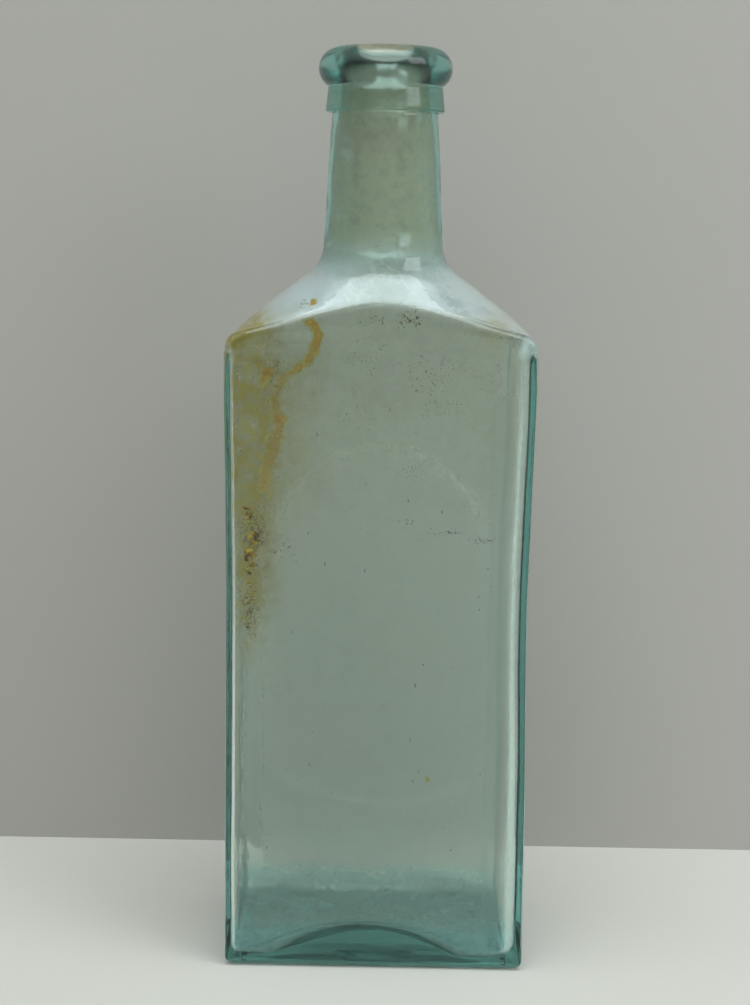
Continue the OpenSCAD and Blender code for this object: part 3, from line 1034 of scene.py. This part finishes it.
def applied_lip(material):
    """Bead and collar laid round the end of the neck."""
    profile = lip_profile()
    count = len(profile)
    angles = np.arange(LIP_TURNS) * 2 * math.pi / LIP_TURNS
    x = np.outer(np.cos(angles), profile[:, 0])
    y = np.outer(np.sin(angles), profile[:, 0])
    z = np.broadcast_to(profile[:, 1], (LIP_TURNS, count))
    skin = np.stack([x, y, z], axis=2).reshape(-1, 3)
    faces = []
    for a in range(LIP_TURNS):
        b = (a + 1) % LIP_TURNS
        for i in range(count):
            j = (i + 1) % count
            faces.append((a * count + i, b * count + i, b * count + j, a * count + j))
    bubble_points, bubble_faces = lip_bubbles()
    faces += [tuple(v + len(skin) for v in face) for face in bubble_faces]
    points = np.concatenate([skin, bubble_points])
    piece = make_piece("applied_lip_skin", points, faces, material, "aqua_glass", "applied_lip")
    for name in ("inside", "stain", "tan", "specks", "film", "grime", "floor", "milk_and_sheen"):
        set_attribute(piece, name, np.zeros(len(points)))
    set_attribute(piece, "frost", np.full(len(points), LIP_FROST))


# Each crumb is a heap of flat, lumpy balls whose middles lie just off the inside of the wall
CRUMB_SEAT = 0.1
LEAST_LUMPS = 3
LUMPS_BY_SIZE = 6
LUMP_FLATNESS = 0.5
LUMP_ROUGHNESS = 0.35
LUMP_WAVE_LEN = 1.0
FIRST_LUMP_SEED = 100


def residue(material):
    """Crumbs of residue on the inside of the front wall, by its left corner."""
    rng = np.random.default_rng(RESIDUE_SEED)
    ball, ball_faces = unit_ball(subdivisions=2)
    wall_y = CRUMB_SEAT - HOLLOW_HALF_D
    lumps = []
    for x, z, half_w, half_h in CRUMBS:
        for _ in range(LEAST_LUMPS + int(LUMPS_BY_SIZE * half_w * half_h)):
            centre = np.array([x + half_w * rng.uniform(-1, 1), wall_y, z + half_h * rng.uniform(-1, 1)])
            size = min(half_w, half_h) * rng.uniform(0.35, 0.8)
            scale = size * np.array([rng.uniform(0.7, 1.2), LUMP_FLATNESS, rng.uniform(0.7, 1.3)])
            rough = 1 + LUMP_ROUGHNESS * ripple(ball, LUMP_WAVE_LEN, FIRST_LUMP_SEED + len(lumps))
            lumps.append(ball * scale * rough[:, None] + centre)
    points, faces = join_copies(lumps, ball_faces)
    make_piece("residue_crumbs", points, faces, material, "dried_residue", "dried_residue")


# Stage: how far it reaches, the wall's distance behind the axis, and a gap that keeps the base off the floor
STAGE_REACH = 3000
WALL_Y = 63
FLOOR_GAP = 0.1
FLOOR_COLOUR = (0.56, 0.55, 0.51)
WALL_COLOUR = (0.46, 0.45, 0.42)

# Light of the room, which grows from low to high between two heights of the sky
ROOM_LOW = 0.22
ROOM_HIGH = 0.95
SKY_LOW = 0.1
SKY_HIGH = 0.9

# Camera, fitted to the photograph's frame
CAMERA_DISTANCE = 425.6
CAMERA_HEIGHT = 194.0
CAMERA_AZIMUTH = math.radians(0.7)
CAMERA_PITCH = math.radians(10.4)
CAMERA_ROLL = math.radians(0.74)
CAMERA_YAW = math.radians(0.17)
FOCAL_PX = 1710
IMAGE_H_PX = 1005
SENSOR = 36.0


def plane(name, corners, material):
    """Flat piece of the stage from four corners in metres."""
    mesh = bpy.data.meshes.new(name)
    mesh.from_pydata(corners, [], [(0, 1, 2, 3)])
    mesh.materials.append(material)
    thing = bpy.data.objects.new(name, mesh)
    bpy.context.scene.collection.objects.link(thing)


def stage():
    """Pale floor and a plain wall close behind the bottle."""
    reach = STAGE_REACH * MM
    back = WALL_Y * MM
    low = -FLOOR_GAP * MM
    corners = [(-reach, -reach, low), (reach, -reach, low), (reach, reach, low), (-reach, reach, low)]
    plane("floor", corners, plain("floor", FLOOR_COLOUR))
    corners = [(-reach, back, low), (reach, back, low), (reach, back, reach), (-reach, back, reach)]
    plane("backdrop", corners, plain("backdrop", WALL_COLOUR, one_sided=True))


def soft_light(name, place, aim, size, power, colour):
    """Square soft light that faces a point. Places and sizes are in metres."""
    lamp = bpy.data.lights.new(name, "AREA")
    lamp.shape = "RECTANGLE"
    lamp.size = size
    lamp.size_y = size
    lamp.energy = power
    lamp.color = colour
    thing = bpy.data.objects.new(name, lamp)
    thing.location = place
    thing.rotation_euler = (Vector(aim) - Vector(place)).to_track_quat("-Z", "Y").to_euler()
    bpy.context.scene.collection.objects.link(thing)


def room():
    """World that is brighter above than at eye level."""
    world = bpy.data.worlds.new("room")
    bpy.context.scene.world = world
    world.use_nodes = True
    tree = world.node_tree
    place = tree.nodes.new("ShaderNodeTexCoord")
    parts = tree.nodes.new("ShaderNodeSeparateXYZ")
    rise = tree.nodes.new("ShaderNodeMapRange")
    rise.interpolation_type = "SMOOTHSTEP"
    rise.inputs["From Min"].default_value = SKY_LOW
    rise.inputs["From Max"].default_value = SKY_HIGH
    rise.inputs["To Min"].default_value = ROOM_LOW
    rise.inputs["To Max"].default_value = ROOM_HIGH
    background = tree.nodes["Background"]
    background.inputs["Color"].default_value = (1, 1, 1, 1)
    tree.links.new(place.outputs["Generated"], parts.inputs["Vector"])
    tree.links.new(parts.outputs["Z"], rise.inputs["Value"])
    tree.links.new(rise.outputs["Result"], background.inputs["Strength"])


def light():
    """Large soft light overhead, a smaller one from the right, and the light of the room."""
    middle = (0, 0, 0.12)
    soft_light("overhead", (0.04, -0.3, 1.8), middle, size=1.6, power=30.0, colour=(0.88, 0.98, 1.0))
    soft_light("window", (0.72, -0.45, 0.62), middle, size=0.5, power=2.4, colour=(0.92, 0.98, 1.0))
    room()


def camera():
    """Camera where the photographer stood, a little above and in front."""
    data = bpy.data.cameras.new("camera")
    data.sensor_width = SENSOR
    data.lens = FOCAL_PX / IMAGE_H_PX * SENSOR
    thing = bpy.data.objects.new("camera", data)
    thing.location = (
        CAMERA_DISTANCE * MM * math.sin(CAMERA_AZIMUTH),
        -CAMERA_DISTANCE * MM * math.cos(CAMERA_AZIMUTH),
        CAMERA_HEIGHT * MM,
    )
    turn = Matrix.Rotation(CAMERA_AZIMUTH + CAMERA_YAW, 3, "Z")
    tilt = Matrix.Rotation(math.pi / 2 - CAMERA_PITCH, 3, "X")
    roll = Matrix.Rotation(CAMERA_ROLL, 3, "Z")
    thing.rotation_euler = (turn @ tilt @ roll).to_euler()
    bpy.context.scene.collection.objects.link(thing)
    bpy.context.scene.camera = thing


camera()
stage()
light()
bpy.context.scene.view_settings.view_transform = "Standard"
glass = aqua_glass()
glass_body(glass)
applied_lip(glass)
residue(crust())
